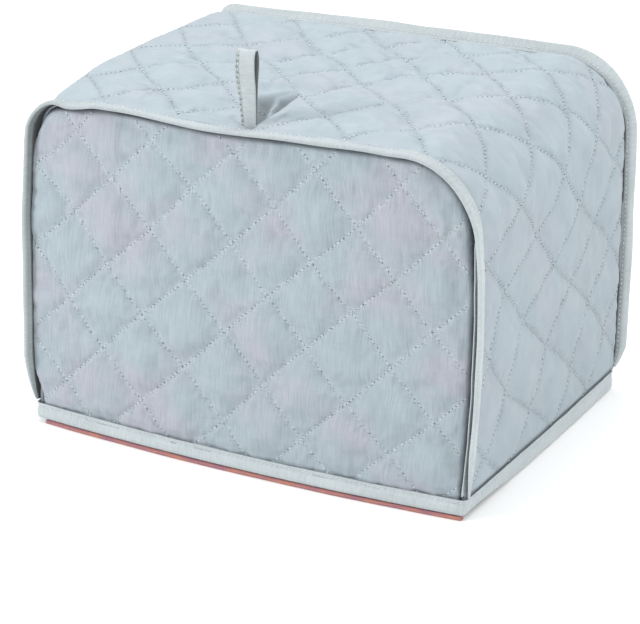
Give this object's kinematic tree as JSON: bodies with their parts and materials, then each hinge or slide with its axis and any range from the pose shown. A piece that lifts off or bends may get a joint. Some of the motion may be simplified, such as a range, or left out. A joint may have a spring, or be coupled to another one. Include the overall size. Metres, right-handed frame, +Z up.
{
  "type": "toaster cover",
  "caption": "Quilted cloth cover for a two-slice toaster: boxy hood with an arched top, bound seams and hem, open underneath, with a small hanging loop.",
  "frame": {"origin": "centre of the bounding box at the foot of the hem", "axes": "+X along the long side to the right seen from the front, +Y from the front panel to the back panel, +Z up"},
  "size_m": [0.2922, 0.2314, 0.2456],
  "materials": {
    "quilted_cloth": "matte brushed cotton, diamond quilted",
    "binding_tape": "matte folded bias tape",
    "facing_cloth": "matte plain weave, mottled rust and rose",
    "loop_ribbon": "matte folded tape with one row of stitches"
  },
  "bodies": {
    "root": {"front_panel": "quilted_cloth", "back_panel": "quilted_cloth", "gusset": "quilted_cloth", "front_binding": "binding_tape", "back_binding": "binding_tape", "hem_binding": "binding_tape", "facing_edge": "facing_cloth", "hanging_loop": "loop_ribbon"}
  },
  "joints": []
}
